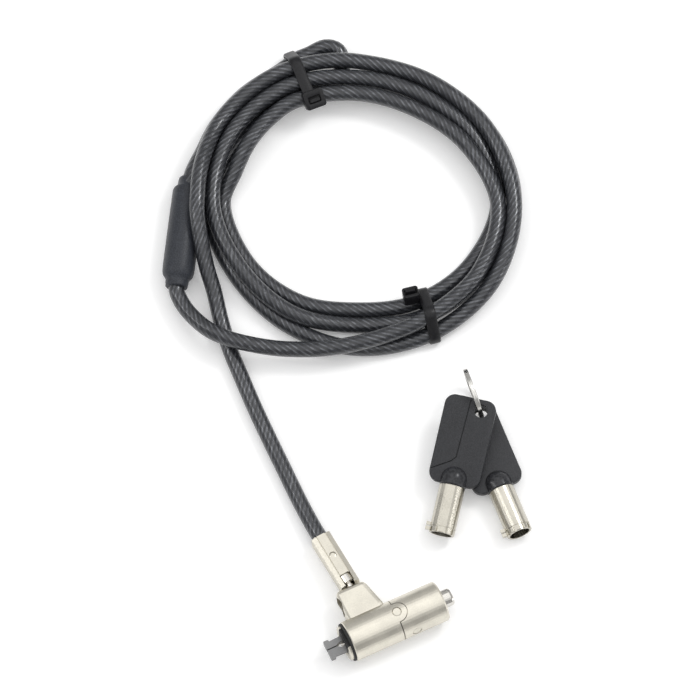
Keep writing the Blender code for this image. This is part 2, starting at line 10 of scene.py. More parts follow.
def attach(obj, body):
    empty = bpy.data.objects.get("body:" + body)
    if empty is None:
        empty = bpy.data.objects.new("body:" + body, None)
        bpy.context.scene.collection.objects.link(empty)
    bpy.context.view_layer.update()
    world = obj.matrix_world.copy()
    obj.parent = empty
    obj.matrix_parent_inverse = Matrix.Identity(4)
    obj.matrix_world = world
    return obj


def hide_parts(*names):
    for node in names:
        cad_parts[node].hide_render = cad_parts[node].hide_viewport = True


bl_info = {
    "name": "Laptop cable lock",
    "version": (1, 0, 0),
    "blender": (4, 5, 0),
    "location": "View3D > Sidebar > Cable lock",
    "description": "Makes a laptop cable lock with its keys, piece by piece",
    "category": "Object",
}

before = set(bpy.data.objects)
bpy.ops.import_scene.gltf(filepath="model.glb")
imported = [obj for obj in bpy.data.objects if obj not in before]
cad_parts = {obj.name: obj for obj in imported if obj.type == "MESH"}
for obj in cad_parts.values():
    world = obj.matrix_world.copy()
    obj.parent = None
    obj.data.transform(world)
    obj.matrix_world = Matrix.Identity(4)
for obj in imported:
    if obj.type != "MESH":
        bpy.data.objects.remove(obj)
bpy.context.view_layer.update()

MM = 0.001
ROOT = "lock_head"

# Places on the table, in millimetres of one flat layout, whose centre is the frame's origin.
LAYOUT_CENTRE = (26.68, -63.05)
HEAD_TURN = 25.4         # the way the lock head points, and so the grain of its plating
KEYS = {
    "1": {"at": (31.4, -69.1, 4.75), "turn": 77.0, "tilt": 9.6},
    "2": {"at": (58.3, -68.9, 4.95), "turn": 111.8, "tilt": 0.0},
}
RING = {"at": (42.5, -19.4, 9.4), "turn": 19.7, "tilt": 5.0}
CABLE_R = 2.75
CABLE_SIDES = 20
ROUTE_STEP = 1.2 * MM    # between the rings of the swept cable
CURVE_STEPS = 20         # between two knots of its route

# The cable's way: out of the ferrule, four turns, the eye's sleeve, the eye and back into the sleeve.
LEAD_ROUTE = [
    (-3.88, -81.32, 4.92), (-6.72, -76.28, 4.42), (-10.05, -70.38, 3.83), (-12.8, -65.4, 3.35),
    (-17.3, -56.4, 2.9), (-22.5, -45.1, 2.8), (-27.6, -34.0, 2.8), (-32.5, -23.0, 2.8), (-37.0, -12.0, 2.8),
    (-41.3, -1.0, 2.8), (-44.5, 9.5, 3.6), (-46.9, 19.5, 5.4), (-49.4, 27.5, 7.6), (-51.5, 36.8, 10.4),
    (-52.8, 45.5, 12.4),
]
CABLE_EXIT = LEAD_ROUTE[2]
# Angle round the bundle, distance from its middle, height: one list for each turn, clockwise.
BUNDLE_CENTRE = (2.07, 51.54)
BUNDLE_DEPTH = 1.064     # the bundle is this much deeper than it is wide
LAYER_SHIFT = 0.364      # the upper layer lies this far towards the front, for each millimetre up
LAYER_MIDDLE = 5.6
TURNS = [
    [(178, 54.9, 13.0), (166, 55.2, 12.2), (150, 55.2, 8.6), (135, 54.0, 8.4), (120, 52.8, 8.4),
     (105, 51.2, 8.4), (90, 49.7, 8.4), (60, 49.7, 8.4), (30, 52.4, 8.5), (0, 54.7, 8.4),
     (-30, 54.2, 6.5), (-60, 51.7, 3.2), (-90, 49.7, 2.8), (-120, 48.0, 2.8), (-150, 48.3, 2.8)],
    [(180, 51.6, 2.8), (165, 48.4, 2.8), (150, 45.0, 2.8), (120, 42.3, 2.8), (90, 41.1, 2.8), (60, 46.0, 2.8),
     (30, 52.4, 2.8), (0, 54.7, 2.8), (-30, 49.7, 2.8), (-60, 45.2, 2.8), (-90, 41.9, 2.8), (-120, 43.5, 6.1),
     (-150, 45.4, 7.6)],
    [(180, 49.5, 8.3), (150, 49.5, 8.5), (120, 47.3, 8.5), (90, 44.0, 8.4), (60, 44.1, 8.3), (30, 47.2, 5.9),
     (0, 49.1, 2.8), (-30, 44.3, 2.8), (-60, 39.5, 2.8), (-90, 36.6, 2.8), (-120, 39.0, 2.8),
     (-150, 42.4, 2.8)],
    [(180, 46.0, 2.8), (165, 43.4, 6.2), (150, 42.8, 8.4), (135, 42.2, 8.4), (120, 41.6, 8.4),
     (90, 38.6, 8.4), (60, 38.7, 8.4), (30, 43.1, 8.5), (0, 49.1, 8.4), (-30, 48.3, 8.5), (-60, 45.9, 8.4),
     (-75, 46.2, 8.4), (-90, 48.1, 8.4)],
]
TAIL_ROUTE = [
    (-10.5, -2.6, 8.2), (-20.0, -2.6, 7.9), (-26.0, -2.3, 8.3), (-33.0, -1.3, 8.7), (-41.0, 0.7, 8.9),
    (-48.0, 4.1, 8.0), (-53.4, 9.0, 6.6), (-57.6, 14.6, 5.7), (-59.93, 20.45, 5.6), (-58.6, 34.0, 5.8),
    (-56.6, 50.0, 7.0), (-54.9, 61.0, 7.9),
]
EYE_OUT = [(161, 56.0, 5.6), (150, 55.4, 3.0), (135, 54.3, 2.8), (120, 53.2, 2.8), (112, 54.4, 3.0)]
EYE_TIP = [
    (-14.0, 107.9, 3.6), (-8.6, 110.2, 4.4), (-4.4, 109.2, 4.2), (-2.6, 105.0, 3.2), (-3.6, 100.6, 2.8),
    (-8.0, 97.6, 2.8),
]
EYE_BACK = [(112, 46.9, 2.8), (120, 47.4, 2.8), (135, 49.2, 2.8), (150, 50.0, 2.8), (162, 53.6, 2.8)]
EYE_END = [(-54.4, 60.0, 2.9), (-55.6, 50.0, 3.0)]
SLEEVE = ((-59.95, 20.8, 5.6), (-55.4, 60.8, 5.6))
TIE_WIDTH = 3.9
TIE_GAP = 0.06           # between the cable and the band
TIE_MARGIN = 6.0 * MM    # how far past its two ends a tie still gathers strands
TIE_STEPS = 96
# Each tie's inner and outer end, seen from above.
TIES = {"upper": ((-12.2, 85.2), (-20.0, 105.0)), "lower": ((24.2, 22.6), (30.1, -0.6))}
# Each head's middle from the band's inner edge (inwards to outwards, along the cable, up), and its size.
TIE_HEADS = {
    "upper": {"at": (0.4, -0.8, 11.4), "tilt": -24.0, "size": (6.4, 7.2, 4.6)},
    "lower": {"at": (2.4, -4.4, 8.0), "tilt": -22.0, "size": (4.8, 5.6, 4.2)},
}


# ------------------------------------------------------------------ shader maths

class Socket:
    """A shader socket; Python arithmetic on it adds Math nodes."""

    def __init__(self, finish, socket):
        self.finish = finish
        self.socket = socket

    def math(self, operation, *others):
        return self.finish.node("ShaderNodeMath", {"operation": operation}, dict(enumerate((self, *others))))

    def __add__(self, other):
        return self.math("ADD", other)

    __radd__ = __add__

    def __mul__(self, other):
        return self.math("MULTIPLY", other)

    __rmul__ = __mul__

    def __sub__(self, other):
        return self.math("SUBTRACT", other)

    def __rsub__(self, other):
        return self.finish.node("ShaderNodeMath", {"operation": "SUBTRACT"}, {0: other, 1: self})

    def fract(self):
        return self.math("FRACT")

    def above(self, low, high):
        """0 below low, 1 above high, smooth between."""
        ranges = {0: self, 1: low, 2: high, 3: 0.0, 4: 1.0}
        return self.finish.node("ShaderNodeMapRange", {"interpolation_type": "SMOOTHSTEP"}, ranges)


class NodeShop:
    """Adds nodes to one shader tree."""

    def __init__(self, tree):
        self.tree = tree

    def set(self, node, sockets):
        for key, value in sockets.items():
            target = node.inputs[key.replace("_", " ") if isinstance(key, str) else key]
            if isinstance(value, Socket):
                self.tree.links.new(value.socket, target)
            elif isinstance(value, tuple) and len(value) == 3 and target.type == "RGBA":
                target.default_value = (*value, 1.0)
            else:
                target.default_value = value

    def node(self, kind, settings, sockets, output=0):
        """Any node: its settings first, then the values or links of its sockets."""
        made = self.tree.nodes.new(kind)
        for key, value in settings.items():
            setattr(made, key, value)
        self.set(made, sockets)
        return Socket(self, made.outputs[output])


class Finish(NodeShop):
    """One material of the object, with the nodes behind its surface."""

    def __init__(self, name, **plain):
        self.material = bpy.data.materials.new(name)
        self.material.use_nodes = True
        super().__init__(self.material.node_tree)
        self.shader = self.tree.nodes["Principled BSDF"]
        self.set(self.shader, plain)

    def coordinates(self, turn=(0.0, 0.0, 0.0), scale=(1.0, 1.0, 1.0)):
        place = self.node("ShaderNodeTexCoord", {}, {}, "Object")
        angles = tuple(math.radians(a) for a in turn)
        return self.node("ShaderNodeMapping", {"vector_type": "TEXTURE"}, {0: place, 2: angles, 3: scale})

    def noise(self, where, scale, detail=2.0, rough=0.5):
        sockets = {"Vector": where, "Scale": scale, "Detail": detail, "Roughness": rough}
        return self.node("ShaderNodeTexNoise", {}, sockets, "Fac")

    def mix(self, factor, first, second):
        """A blend of two colours."""
        return self.node("ShaderNodeMix", {"data_type": "RGBA"}, {0: factor, 6: first, 7: second}, 2)

    def bump(self, height, distance, strength=1.0):
        sockets = {"Height": height, "Distance": distance, "Strength": strength}
        self.set(self.shader, {"Normal": self.node("ShaderNodeBump", {}, sockets)})

    def surface(self, **sockets):
        self.set(self.shader, sockets)


def nickel_finish(name, colour, roughness, grain, along=HEAD_TURN):
    """Plated metal: tumbled grain, faint handling marks, a little darker in patches."""
    finish = Finish(name, Metallic=1.0)
    where = finish.coordinates()
    streak = finish.coordinates((0.0, 0.0, along), (1.0, 0.12, 0.12))
    grains = finish.noise(where, 2300.0, 3.0, 0.7)
    lines = finish.noise(streak, 260.0, 3.0, 0.6)
    patches = finish.noise(where, 130.0, 3.0, 0.55)
    dull = tuple(c * 0.86 for c in colour)
    finish.surface(
        Base_Color=finish.mix((patches * 0.5 + grains * 0.5).above(0.36, 0.62), dull, colour),
        Roughness=roughness + (patches - 0.5) * 0.10 + (lines - 0.5) * 0.10,
    )
    finish.bump(grains * 0.8 + lines * 0.4, grain * MM)
    return finish.material


def plastic_finish(name, colour, roughness, grain, scale):
    """Moulded plastic with the fine grain of an eroded mould."""
    finish = Finish(name, Specular_IOR_Level=0.3)
    where = finish.coordinates()
    sockets = {"Vector": where, "Scale": scale}
    cells = finish.node("ShaderNodeTexVoronoi", {"feature": "F1"}, sockets, "Distance")
    clouds = finish.noise(where, 190.0, 3.0, 0.6)
    lighter = tuple(c * 2.0 for c in colour)
    finish.surface(
        Base_Color=finish.mix((clouds * 0.4 + cells).above(0.35, 0.95), colour, lighter),
        Roughness=roughness + (clouds - 0.5) * 0.16,
    )
    finish.bump(cells + clouds * 0.3, grain * MM)
    return finish.material


def jacket_finish(name, settings):
    """Twisted steel strands that show through a clear smoke jacket, with painted shade in the valleys between
    them and painted highlights on their crowns and wires.
    """
    finish = Finish(name, Coat_Weight=0.35, Coat_Roughness=0.16, IOR=1.5)
    spot = finish.node("ShaderNodeTexCoord", {}, {}, "UV")
    along = finish.node("ShaderNodeSeparateXYZ", {}, {0: spot}, 0)
    around = finish.node("ShaderNodeSeparateXYZ", {}, {0: spot}, 1)
    count = float(settings.strands)
    phase = around * count - along * (count / settings.lay)
    in_strand = phase.fract() - 0.5
    out = in_strand.math("ABSOLUTE") * 2.0
    crown = 1.0 - out * out
    wires = (phase * 3.0 + around * count * 4.0).fract() - 0.5
    wire = 1.0 - wires.math("ABSOLUTE") * 2.0
    where = finish.coordinates()
    drift = finish.noise(where, 420.0, 2.0, 0.6)
    # Painted highlight: the gleam colour along the top of each strand's crown, broken up by noise.
    crown_highlight = crown.above(0.72, 0.98) * (0.15 + 0.85 * drift.above(0.42, 0.66))
    # Painted shade: the valley colour darkens each strand towards the grooves between strands.
    body = finish.mix(crown.above(0.05, 0.7), tuple(settings.valley), tuple(settings.strand))
    # Painted glints: the gleam colour on single wires across each crown.
    glinting_strands = finish.mix(wire.above(0.2, 0.9) * 0.35 * crown, body, tuple(settings.gleam))
    finish.surface(
        Base_Color=finish.mix(crown_highlight * 0.75, glinting_strands, tuple(settings.gleam)),
        Metallic=0.12 + 0.2 * crown.above(0.2, 0.9),
        Roughness=0.34 - 0.12 * crown,
    )
    finish.bump(crown + wire * 0.1, 0.09 * MM, 0.8)
    return finish.material


# ------------------------------------------------------------------ shapes

def here(x, y, z):
    """A place in the layout, in millimetres, as a point of the frame in metres."""
    return Vector((x - LAYOUT_CENTRE[0], y - LAYOUT_CENTRE[1], z)) * MM


def place(spot):
    """The frame of a piece: turned about Z, then tilted about its own Y."""
    spin = Matrix.Rotation(math.radians(spot["turn"]), 4, "Z")
    lean = Matrix.Rotation(math.radians(-spot["tilt"]), 4, "Y")
    return Matrix.Translation(here(*spot["at"])) @ spin @ lean


def bundle_point(angle, reach, height):
    """A point of a turn, from its angle round the bundle, its distance from the middle and its height."""
    turn = math.radians(angle)
    x = BUNDLE_CENTRE[0] + reach * math.cos(turn)
    y = BUNDLE_CENTRE[1] + reach * BUNDLE_DEPTH * math.sin(turn) - LAYER_SHIFT * (height - LAYER_MIDDLE)
    return here(x, y, height)


def smooth_route(knots, spacing):
    """Points at an even spacing along a centripetal curve through the knots."""
    knots = [2 * knots[0] - knots[1], *knots, 2 * knots[-1] - knots[-2]]
    fine = []
    for a, b, c, d in zip(knots, knots[1:], knots[2:], knots[3:]):
        times = [0.0]
        for p, q in ((a, b), (b, c), (c, d)):
            times.append(times[-1] + max((q - p).length, 1e-9) ** 0.5)
        t0, t1, t2, t3 = times
        for k in range(CURVE_STEPS):
            t = t1 + (t2 - t1) * k / CURVE_STEPS
            ab = a.lerp(b, (t - t0) / (t1 - t0))
            bc = b.lerp(c, (t - t1) / (t2 - t1))
            cd = c.lerp(d, (t - t2) / (t3 - t2))
            abc = ab.lerp(bc, (t - t0) / (t2 - t0))
            bcd = bc.lerp(cd, (t - t1) / (t3 - t1))
            fine.append(abc.lerp(bcd, (t - t1) / (t2 - t1)))
    fine.append(knots[-2])
    lengths = [0.0]
    for a, b in zip(fine, fine[1:]):
        lengths.append(lengths[-1] + (b - a).length)
    count = round(lengths[-1] / spacing)
    even = []
    k = 0
    for step in range(count + 1):
        goal = lengths[-1] * step / count
        while k < len(fine) - 2 and lengths[k + 1] < goal:
            k += 1
        span = max(lengths[k + 1] - lengths[k], 1e-12)
        point = fine[k].lerp(fine[k + 1], min(1.0, (goal - lengths[k]) / span))
        point.z = max(point.z, CABLE_R * MM)
        even.append(point)
    return even


def cable_route():
    knots = [here(*p) for p in LEAD_ROUTE]
    for turn in TURNS:
        knots += [bundle_point(*p) for p in turn]
    knots += [here(*p) for p in TAIL_ROUTE]
    knots += [bundle_point(*p) for p in EYE_OUT]
    knots += [here(*p) for p in EYE_TIP]
    knots += [bundle_point(*p) for p in EYE_BACK]
    knots += [here(*p) for p in EYE_END]
    return smooth_route(knots, ROUTE_STEP)


def shade(mesh, angle):
    """Smooth shading, with edges sharper than the angle kept."""
    mesh.shade_smooth()
    mesh.set_sharp_from_angle(angle=math.radians(angle))


def piece(name, bm, material, smooth, matrix=None):
    """A finished mesh object at the origin, with its place in its mesh."""
    if matrix is not None:
        bm.transform(matrix)
    mesh = bpy.data.meshes.new(name)
    bm.to_mesh(mesh)
    bm.free()
    item = bpy.data.objects.new(name, mesh)
    bpy.context.scene.collection.objects.link(item)
    mesh.materials.append(material)
    shade(mesh, smooth)
    return item


def apply_modifiers(item):
    """Make the evaluated shape the piece's own mesh."""
    bpy.context.view_layer.update()
    seen = item.evaluated_get(bpy.context.evaluated_depsgraph_get())
    made = bpy.data.meshes.new_from_object(seen)
    item.modifiers.clear()
    item.data = made


def loft(bm, rings, closed=False):
    """Faces between rings of vertices, with caps unless the rings close on themselves."""
    sides = len(rings[0])
    pairs = list(zip(rings, rings[1:]))
    if closed:
        pairs.append((rings[-1], rings[0]))
    for low, high in pairs:
        for k in range(sides):
            step = (k + 1) % sides
            bm.faces.new((low[k], low[step], high[step], high[k]))
    if not closed:
        bm.faces.new(rings[0][::-1])
        bm.faces.new(rings[-1])


def swept(name, points, radius, sides, material):
    """A round tube along points, with UVs of metres along it and one turn round it."""
    bm = bmesh.new()
    layer = bm.loops.layers.uv.new("strands")
    normal = Vector((0.0, 0.0, 1.0))
    rings = []
    lengths = [0.0]
    for k, point in enumerate(points):
        ahead = points[min(k + 1, len(points) - 1)]
        behind = points[max(k - 1, 0)]
        forward = (ahead - behind).normalized()
        normal = (normal - forward * normal.dot(forward)).normalized()
        side = forward.cross(normal)
        turns = [2 * math.pi * j / sides for j in range(sides)]
        spokes = [normal * math.cos(turn) + side * math.sin(turn) for turn in turns]
        rings.append([bm.verts.new(point + spoke * radius) for spoke in spokes])
        if k:
            lengths.append(lengths[-1] + (point - points[k - 1]).length)
    for k in range(len(rings) - 1):
        for j in range(sides):
            step = (j + 1) % sides
            face = bm.faces.new((rings[k][j], rings[k][step], rings[k + 1][step], rings[k + 1][j]))
            spots = [(k, j), (k, j + 1), (k + 1, j + 1), (k + 1, j)]
            for loop, (row, column) in zip(face.loops, spots):
                loop[layer].uv = (lengths[row], column / sides)
    bm.faces.new(rings[0][::-1])
    bm.faces.new(rings[-1])
    bmesh.ops.recalc_face_normals(bm, faces=bm.faces)
    return piece(name, bm, material, 60), lengths[-1]


def hull(points):
    """The convex outline of flat points, anticlockwise."""
    points = sorted(set(points))

    def half(ordered):
        chain = []
        for p in ordered:
            while len(chain) > 1:
                (ax, ay), (bx, by) = chain[-2:]
                if (bx - ax) * (p[1] - ay) - (by - ay) * (p[0] - ax) > 0:
                    break
                chain.pop()
            chain.append(p)
        return chain[:-1]

    return half(points) + half(points[::-1])


def evenly(outline, count):
    """A closed outline cut into equal steps."""
    ring = [Vector(p) for p in outline]
    ring.append(ring[0])
    lengths = [0.0]
    for a, b in zip(ring, ring[1:]):
        lengths.append(lengths[-1] + (b - a).length)
    even = []
    k = 0
    for step in range(count):
        goal = lengths[-1] * step / count
        while lengths[k + 1] < goal:
            k += 1
        even.append(ring[k].lerp(ring[k + 1], (goal - lengths[k]) / (lengths[k + 1] - lengths[k])))
    return even


def rounded_outline(low, high, radius, steps):
    (x0, y0), (x1, y1) = low, high
    corners = [(x1 - radius, y1 - radius, 0), (x0 + radius, y1 - radius, 90),
               (x0 + radius, y0 + radius, 180), (x1 - radius, y0 + radius, 270)]
    outline = []
    for cx, cy, start in corners:
        for k in range(steps + 1):
            a = math.radians(start + 90 * k / steps)
            outline.append((cx + radius * math.cos(a), cy + radius * math.sin(a)))
    return outline


def prism(bm, outline, low, high):
    """A flat outline in millimetres given a height, in metres."""
    rings = [[bm.verts.new((x * MM, y * MM, z)) for x, y in outline] for z in (low, high)]
    loft(bm, rings)


def turned(bm, profile, sides, matrix=None):
    """A closed outline of (along, radius) in millimetres turned about the local X axis."""
    rings = []
    for along, radius in profile:
        if radius == 0:
            rings.append([bm.verts.new((along * MM, 0.0, 0.0))] * sides)
            continue
        ring = []
        for k in range(sides):
            turn = 2 * math.pi * (k + 0.5) / sides
            spoke = (radius * math.cos(turn) * MM, radius * math.sin(turn) * MM)
            ring.append(bm.verts.new((along * MM, *spoke)))
        rings.append(ring)
    for here_ring, there in zip(rings, rings[1:] + rings[:1]):
        for k in range(sides):
            step = (k + 1) % sides
            loop = list(dict.fromkeys((here_ring[k], here_ring[step], there[step], there[k])))
            if len(loop) > 2:
                bm.faces.new(loop)
    bmesh.ops.recalc_face_normals(bm, faces=bm.faces)
    if matrix is not None:
        bmesh.ops.transform(bm, matrix=matrix, verts=bm.verts)


def boolean(item, tool_bm, operation):
    """Cut or join with a shape given as a bmesh, and keep the result as a plain mesh."""
    bmesh.ops.recalc_face_normals(tool_bm, faces=tool_bm.faces)
    mesh = bpy.data.meshes.new("tool")
    tool_bm.to_mesh(mesh)
    tool_bm.free()
    tool = bpy.data.objects.new("tool", mesh)
    bpy.context.scene.collection.objects.link(tool)
    change = item.modifiers.new("cut", "BOOLEAN")
    change.operation = operation
    change.solver = "EXACT"
    change.object = tool
    apply_modifiers(item)
    bpy.data.objects.remove(tool, do_unlink=True)


def soften(item, width, segments):
    """Round the sharp edges of a moulded piece; the width is in millimetres."""
    edge = item.modifiers.new("edge", "BEVEL")
    edge.width = width * MM
    edge.segments = segments
    edge.limit_method = "ANGLE"
    edge.angle_limit = math.radians(35)
    apply_modifiers(item)
    shade(item.data, 30)


def paint(nodes, material):
    """Give CAD nodes a finished material."""
    for name in nodes:
        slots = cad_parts[name].material_slots
        for slot in slots:
            slot.material = material


def settings_of(context):
    return context.scene.cable_lock


# ------------------------------------------------------------------ settings

class CableLockSettings(bpy.types.PropertyGroup):
    nickel: bpy.props.FloatVectorProperty(
        name="Nickel", description="Colour of the satin nickel plating", subtype="COLOR",
        default=(0.74, 0.705, 0.615), min=0.0, max=1.0)
    polish: bpy.props.FloatProperty(
        name="Satin roughness", description="How dull the satin nickel is", subtype="FACTOR",
        default=0.33, min=0.05, max=0.8)
    plastic: bpy.props.FloatVectorProperty(
        name="Key plastic", description="Colour of the key heads", subtype="COLOR",
        default=(0.018, 0.0185, 0.0205), min=0.0, max=1.0)
    nylon: bpy.props.FloatVectorProperty(
        name="Tie nylon", description="Colour of the cable ties", subtype="COLOR",
        default=(0.006, 0.006, 0.007), min=0.0, max=1.0)
    strands: bpy.props.IntProperty(
        name="Strands", description="Strands in the cable's outer layer", default=10, min=6, max=16)
    lay: bpy.props.FloatProperty(
        name="Lay", description="Length of one full twist of the strands", subtype="DISTANCE", unit="LENGTH",
        default=0.026, min=0.01, max=0.05)
    # Painted shade: the colour of the grooves between the strands.
    valley: bpy.props.FloatVectorProperty(
        name="Strand valleys", description="Colour between the strands", subtype="COLOR",
        default=(0.010, 0.011, 0.012), min=0.0, max=1.0)
    strand: bpy.props.FloatVectorProperty(
        name="Strand steel", description="Colour of the strands through the jacket", subtype="COLOR",
        default=(0.015, 0.0165, 0.021), min=0.0, max=1.0)
    # Painted highlight: the colour laid on the strands' crowns and wires.
    gleam: bpy.props.FloatVectorProperty(
        name="Strand gleam", description="Colour of the strands' bright wires", subtype="COLOR",
        default=(0.15, 0.155, 0.17), min=0.0, max=1.0)
    ring_turns: bpy.props.FloatProperty(
        name="Ring turns", description="Turns of flat wire in the split ring", default=2.05, min=1.2, max=3.0)
    floor: bpy.props.FloatVectorProperty(
        name="Floor", description="Colour of the floor", subtype="COLOR", default=(0.93, 0.93, 0.93),
        min=0.0, max=1.0)
    light: bpy.props.FloatProperty(
        name="Light", description="Strength of the studio light", subtype="FACTOR", default=1.0, min=0.1,
        max=4.0, soft_max=2.0)


# ------------------------------------------------------------------ stage

FRAME_WIDTH = 241.5 * MM     # how much of the table the camera sees
LENS = 1000.0
SENSOR = 36.0
ELEVATION = 70.0
FLOOR_REACH = 3.0
# The sky: a pale wall all round, a brighter ceiling, and a little more towards the back.
WALL_GLOW = 0.44
CEILING_GLOW = 0.86
BACK_GLOW = 0.10
# Each light's name, place, size and power; all point at the middle of the table.
LIGHTS = [
    ("softbox_key", (0.60, 0.47, 0.92), (0.30, 0.30), 3.2),
    ("softbox_left", (-0.85, 0.10, 0.62), (0.10, 0.60), 1.0),
    ("strip_right", (0.95, -0.15, 0.30), (0.06, 0.60), 0.7),
]


class CABLELOCK_OT_stage(bpy.types.Operator):
    """Set up the table, the soft studio light and the camera"""

    bl_idname = "cablelock.stage"
    bl_label = "Studio"

    def execute(self, context):
        settings = settings_of(context)
        self.camera(context)
        self.floor(settings)
        self.lights(context, settings)
        return {"FINISHED"}

    def camera(self, context):
        data = bpy.data.cameras.new("camera")
        data.lens = LENS
        data.sensor_width = SENSOR
        data.clip_end = 30.0
        item = bpy.data.objects.new("camera", data)
        context.scene.collection.objects.link(item)
        tilt = math.radians(ELEVATION)
        away = FRAME_WIDTH * LENS / SENSOR
        item.location = here(0.0, 0.0, 0.0) + Vector((0.0, -math.cos(tilt), math.sin(tilt))) * away
        item.rotation_euler = (math.radians(90) - tilt, 0.0, 0.0)
        context.scene.camera = item

    def floor(self, settings):
        bm = bmesh.new()
        corners = ((-1, -1), (1, -1), (1, 1), (-1, 1))
        bm.faces.new([bm.verts.new((x * FLOOR_REACH, y * FLOOR_REACH, 0.0)) for x, y in corners])
        finish = Finish("floor_white", Base_Color=tuple(settings.floor), Roughness=0.9,
                        Emission_Color=(1.0, 1.0, 1.0), Emission_Strength=0.18)
        piece("floor", bm, finish.material, 30)

    def lights(self, context, settings):
        world = bpy.data.worlds.new("studio")
        context.scene.world = world
        world.use_nodes = True
        sky = NodeShop(world.node_tree)
        direction = sky.node("ShaderNodeTexCoord", {}, {}, "Generated")
        back = sky.node("ShaderNodeSeparateXYZ", {}, {0: direction}, 1)
        height = sky.node("ShaderNodeSeparateXYZ", {}, {0: direction}, 2)
        glow = WALL_GLOW + CEILING_GLOW * height.above(0.62, 0.88) + BACK_GLOW * back.above(-0.4, 0.6)
        background = world.node_tree.nodes["Background"]
        sky.set(background, {"Color": (1.0, 1.0, 1.0), "Strength": glow * settings.light})
        for name, spot, size, power in LIGHTS:
            data = bpy.data.lights.new(name, "AREA")
            data.shape = "RECTANGLE"
            data.size, data.size_y = size
            data.energy = power * settings.light
            item = bpy.data.objects.new(name, data)
            context.scene.collection.objects.link(item)
            item.location = spot
            item.rotation_euler = (-Vector(spot)).to_track_quat("-Z", "Y").to_euler()
        context.scene.view_settings.view_transform = "Standard"


# ------------------------------------------------------------------ cable

